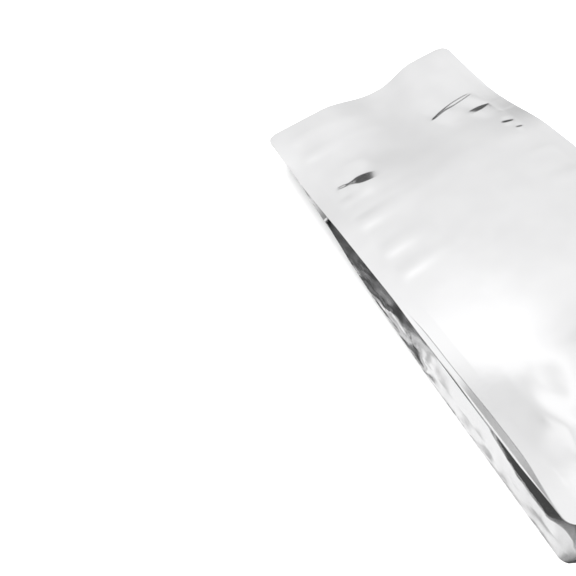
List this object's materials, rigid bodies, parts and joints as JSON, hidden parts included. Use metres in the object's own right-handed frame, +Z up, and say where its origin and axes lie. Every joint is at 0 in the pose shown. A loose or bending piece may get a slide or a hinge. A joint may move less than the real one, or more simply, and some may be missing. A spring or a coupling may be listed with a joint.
{
  "type": "flat-bottom bag",
  "caption": "Filled flat-bottom bag of plain silver film with sealed long edges, folded side gussets and a flat wavy top, lying on its back.",
  "frame": {"origin": "on the resting surface, under the middle of the bag's box", "axes": "X across the panels, +Y towards the top seal, +Z up out of the front panel"},
  "size_m": [0.12, 0.276, 0.0522],
  "materials": {
    "foil_film": "satin metallised film"
  },
  "bodies": {
    "root": {"bag": "foil_film"}
  },
  "joints": []
}
